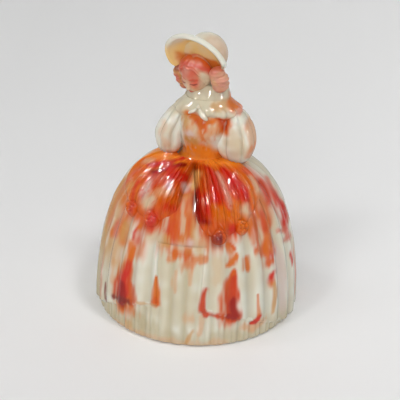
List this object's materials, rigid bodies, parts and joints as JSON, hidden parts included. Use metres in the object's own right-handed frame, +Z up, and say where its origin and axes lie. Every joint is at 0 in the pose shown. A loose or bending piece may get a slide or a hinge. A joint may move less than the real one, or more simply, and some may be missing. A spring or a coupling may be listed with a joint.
{
  "type": "glass figurine",
  "caption": "Free-standing pressed slag-glass figurine of a lady in a hooped gown and poke bonnet, hollow under the skirt, for display on a shelf.",
  "frame": {"origin": "centre of the foot ring on the surface that the figurine stands on", "axes": "+Z up through the bonnet, -Y towards the front of the gown, +X towards her left"},
  "size_m": [0.1008, 0.0999, 0.1391],
  "materials": {
    "glass_white": "glossy pressed opal glass",
    "glass_skirt": "glossy pressed slag glass, cream with orange and red streaks",
    "glass_swag": "glossy pressed slag glass, red and orange",
    "glass_bodice": "glossy pressed slag glass, orange and cream",
    "glass_sleeve": "glossy pressed slag glass, opal cream",
    "glass_head": "glossy pressed slag glass, pink and orange",
    "glass_bonnet": "glossy pressed slag glass, cream and ochre"
  },
  "bodies": {
    "root": {"skirt_bell": "glass_white", "petticoat_flutes": "glass_white", "overskirt": "glass_skirt", "swag_left": "glass_swag", "swag_right": "glass_swag", "rosettes_left": "glass_swag", "rosettes_right": "glass_swag", "bodice": "glass_bodice", "fichu": "glass_bodice", "neck_bow": "glass_white", "sleeve_left": "glass_sleeve", "sleeve_right": "glass_sleeve", "neck": "glass_bodice", "head": "glass_head", "hair": "glass_head", "curls_left": "glass_head", "curls_right": "glass_head", "bonnet_brim": "glass_bonnet", "bonnet_crown": "glass_bonnet"}
  },
  "joints": []
}
